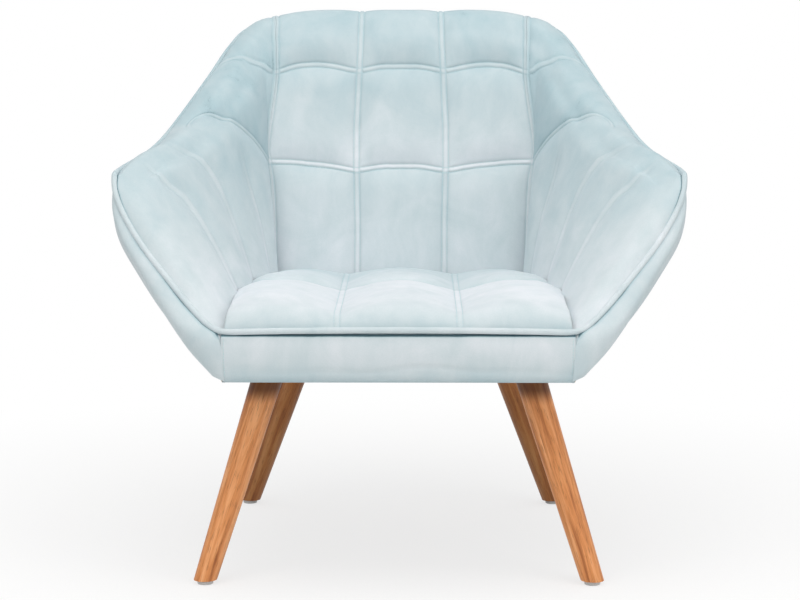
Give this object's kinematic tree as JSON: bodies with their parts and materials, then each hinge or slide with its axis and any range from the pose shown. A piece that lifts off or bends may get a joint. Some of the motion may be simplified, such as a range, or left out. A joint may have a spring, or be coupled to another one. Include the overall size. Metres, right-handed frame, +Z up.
{
  "type": "upholstered armchair",
  "caption": "Upholstered tub armchair with a quilted velvet back and seat, flared arms, a welted rim and splayed round wooden legs.",
  "frame": {"origin": "on the floor, under the middle of the chair's bounding box", "axes": "+Z up, +X to the right of someone facing the chair's front, -Y towards the front"},
  "size_m": [0.8132, 0.6582, 0.7815],
  "materials": {
    "velvet": "short pile velvet, pale ice blue",
    "leg_wood": "oiled, straight grain",
    "frame_timber": "planed, unfinished",
    "plywood": "sanded, unfinished",
    "zinc_steel": "zinc plated",
    "clip_plastic": "moulded",
    "glide_plastic": "moulded, pale grey",
    "felt": "needled felt",
    "foam": "cut foam",
    "dust_cloth": "spun bonded cloth"
  },
  "bodies": {
    "root": {"arm_facing_left": "velvet", "arm_facing_right": "velvet", "arm_pad_left": "velvet", "arm_pad_right": "velvet", "arm_panel_left": "plywood", "arm_panel_right": "plywood", "back_pad": "velvet", "back_panel": "plywood", "corner_gussets": "plywood", "dust_cover": "dust_cloth", "dust_staples": "zinc_steel", "frame_screws": "zinc_steel", "front_apron": "velvet", "front_edge_roll": "foam", "front_leg_left": "leg_wood", "front_leg_right": "leg_wood", "front_rail": "frame_timber", "front_welt": "velvet", "glide_nails": "zinc_steel", "glides": "glide_plastic", "leg_bolts": "zinc_steel", "leg_plates": "zinc_steel", "outer_arm_cover_left": "velvet", "outer_arm_cover_right": "velvet", "outer_back_cover": "velvet", "panel_dowels": "frame_timber", "panel_screws": "zinc_steel", "plate_screws": "zinc_steel", "rear_leg_left": "leg_wood", "rear_leg_right": "leg_wood", "rear_rail": "frame_timber", "rim_welt": "velvet", "seat_cushion": "velvet", "seat_foam": "foam", "seat_springs": "zinc_steel", "side_rail_left": "frame_timber", "side_rail_right": "frame_timber", "spring_clips": "clip_plastic", "spring_felt": "felt"}
  },
  "joints": []
}
